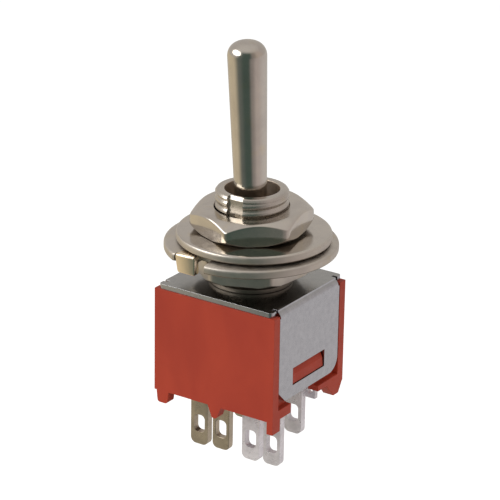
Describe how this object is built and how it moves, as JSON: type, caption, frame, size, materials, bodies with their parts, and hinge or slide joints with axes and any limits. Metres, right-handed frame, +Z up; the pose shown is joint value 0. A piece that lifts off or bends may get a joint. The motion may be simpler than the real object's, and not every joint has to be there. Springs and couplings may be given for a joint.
{
  "type": "panel toggle switch",
  "caption": "Small panel-mount toggle switch with a bat lever, threaded bushing with nuts and washers, moulded body in a folded steel frame, and solder lugs underneath.",
  "frame": {"origin": "on the bushing axis, on the plane where the lock ring meets the back of a panel", "axes": "+Z up the bushing towards the lever tip; +Y and -Y are the two throw directions, the keyway is at -Y; the two poles and the frame's legs are at -X and +X"},
  "size_m": [0.0114, 0.0114, 0.0295],
  "materials": {
    "nickel": "satin nickel plating on turned brass",
    "zinc_steel": "zinc-plated sheet steel, dull grey",
    "red_plastic": "moulded red-orange thermoset, satin",
    "seal": "cast dark resin",
    "nylon": "natural nylon",
    "spring_steel": "bright steel",
    "contact": "silver-plated copper",
    "tinned": "tinned brass, lightly mottled"
  },
  "bodies": {
    "root": {"ball_retainer": "nylon", "bushing": "nickel", "upper_nut": "nickel", "panel_washer": "nickel", "lock_ring": "nickel", "lower_nut": "nickel", "frame": "zinc_steel", "housing": "red_plastic", "base_seal": "seal", "common_lug_left": "tinned", "common_lug_right": "tinned", "front_lug_left": "tinned", "front_lug_right": "tinned", "back_lug_left": "tinned", "back_lug_right": "tinned", "eyelet_tab": "tinned"},
    "lever": {"bat_lever": "nickel", "cradle": "nylon", "spring_left": "spring_steel", "spring_right": "spring_steel"},
    "plunger_left": {"plunger_left": "spring_steel"},
    "plunger_right": {"plunger_right": "spring_steel"},
    "rocker_left": {"rocker_left": "contact"},
    "rocker_right": {"rocker_right": "contact"}
  },
  "joints": [
    {"name": "lever_throw", "type": "hinge", "parent": "root", "child": "lever", "pos_m": [0, 0, 0.00037], "axis": [1, 0, 0], "range_deg": [-16, 8]},
    {"name": "rocker_left_tilt", "type": "hinge", "parent": "root", "child": "rocker_left", "pos_m": [-0.00205, 0, -0.0068], "axis": [1, 0, 0], "range_deg": [-4, 8]},
    {"name": "rocker_right_tilt", "type": "hinge", "parent": "root", "child": "rocker_right", "pos_m": [0.00205, 0, -0.0068], "axis": [1, 0, 0], "range_deg": [-4, 8]},
    {"name": "plunger_left_slide", "type": "slide", "parent": "lever", "child": "plunger_left", "axis": [0, -0.0698, 0.9976], "range_m": [0, 0.00025], "stiffness_N_per_m": 100, "springref_m": -0.0003, "deforming": ["spring_left"]},
    {"name": "plunger_right_slide", "type": "slide", "parent": "lever", "child": "plunger_right", "axis": [0, -0.0698, 0.9976], "range_m": [0, 0.00025], "stiffness_N_per_m": 100, "springref_m": -0.0003, "deforming": ["spring_right"]}
  ],
  "couplings": [
    {"joint": "rocker_left_tilt", "follows": "lever_throw", "ratio": -0.5},
    {"joint": "rocker_right_tilt", "follows": "lever_throw", "ratio": -0.5}
  ]
}
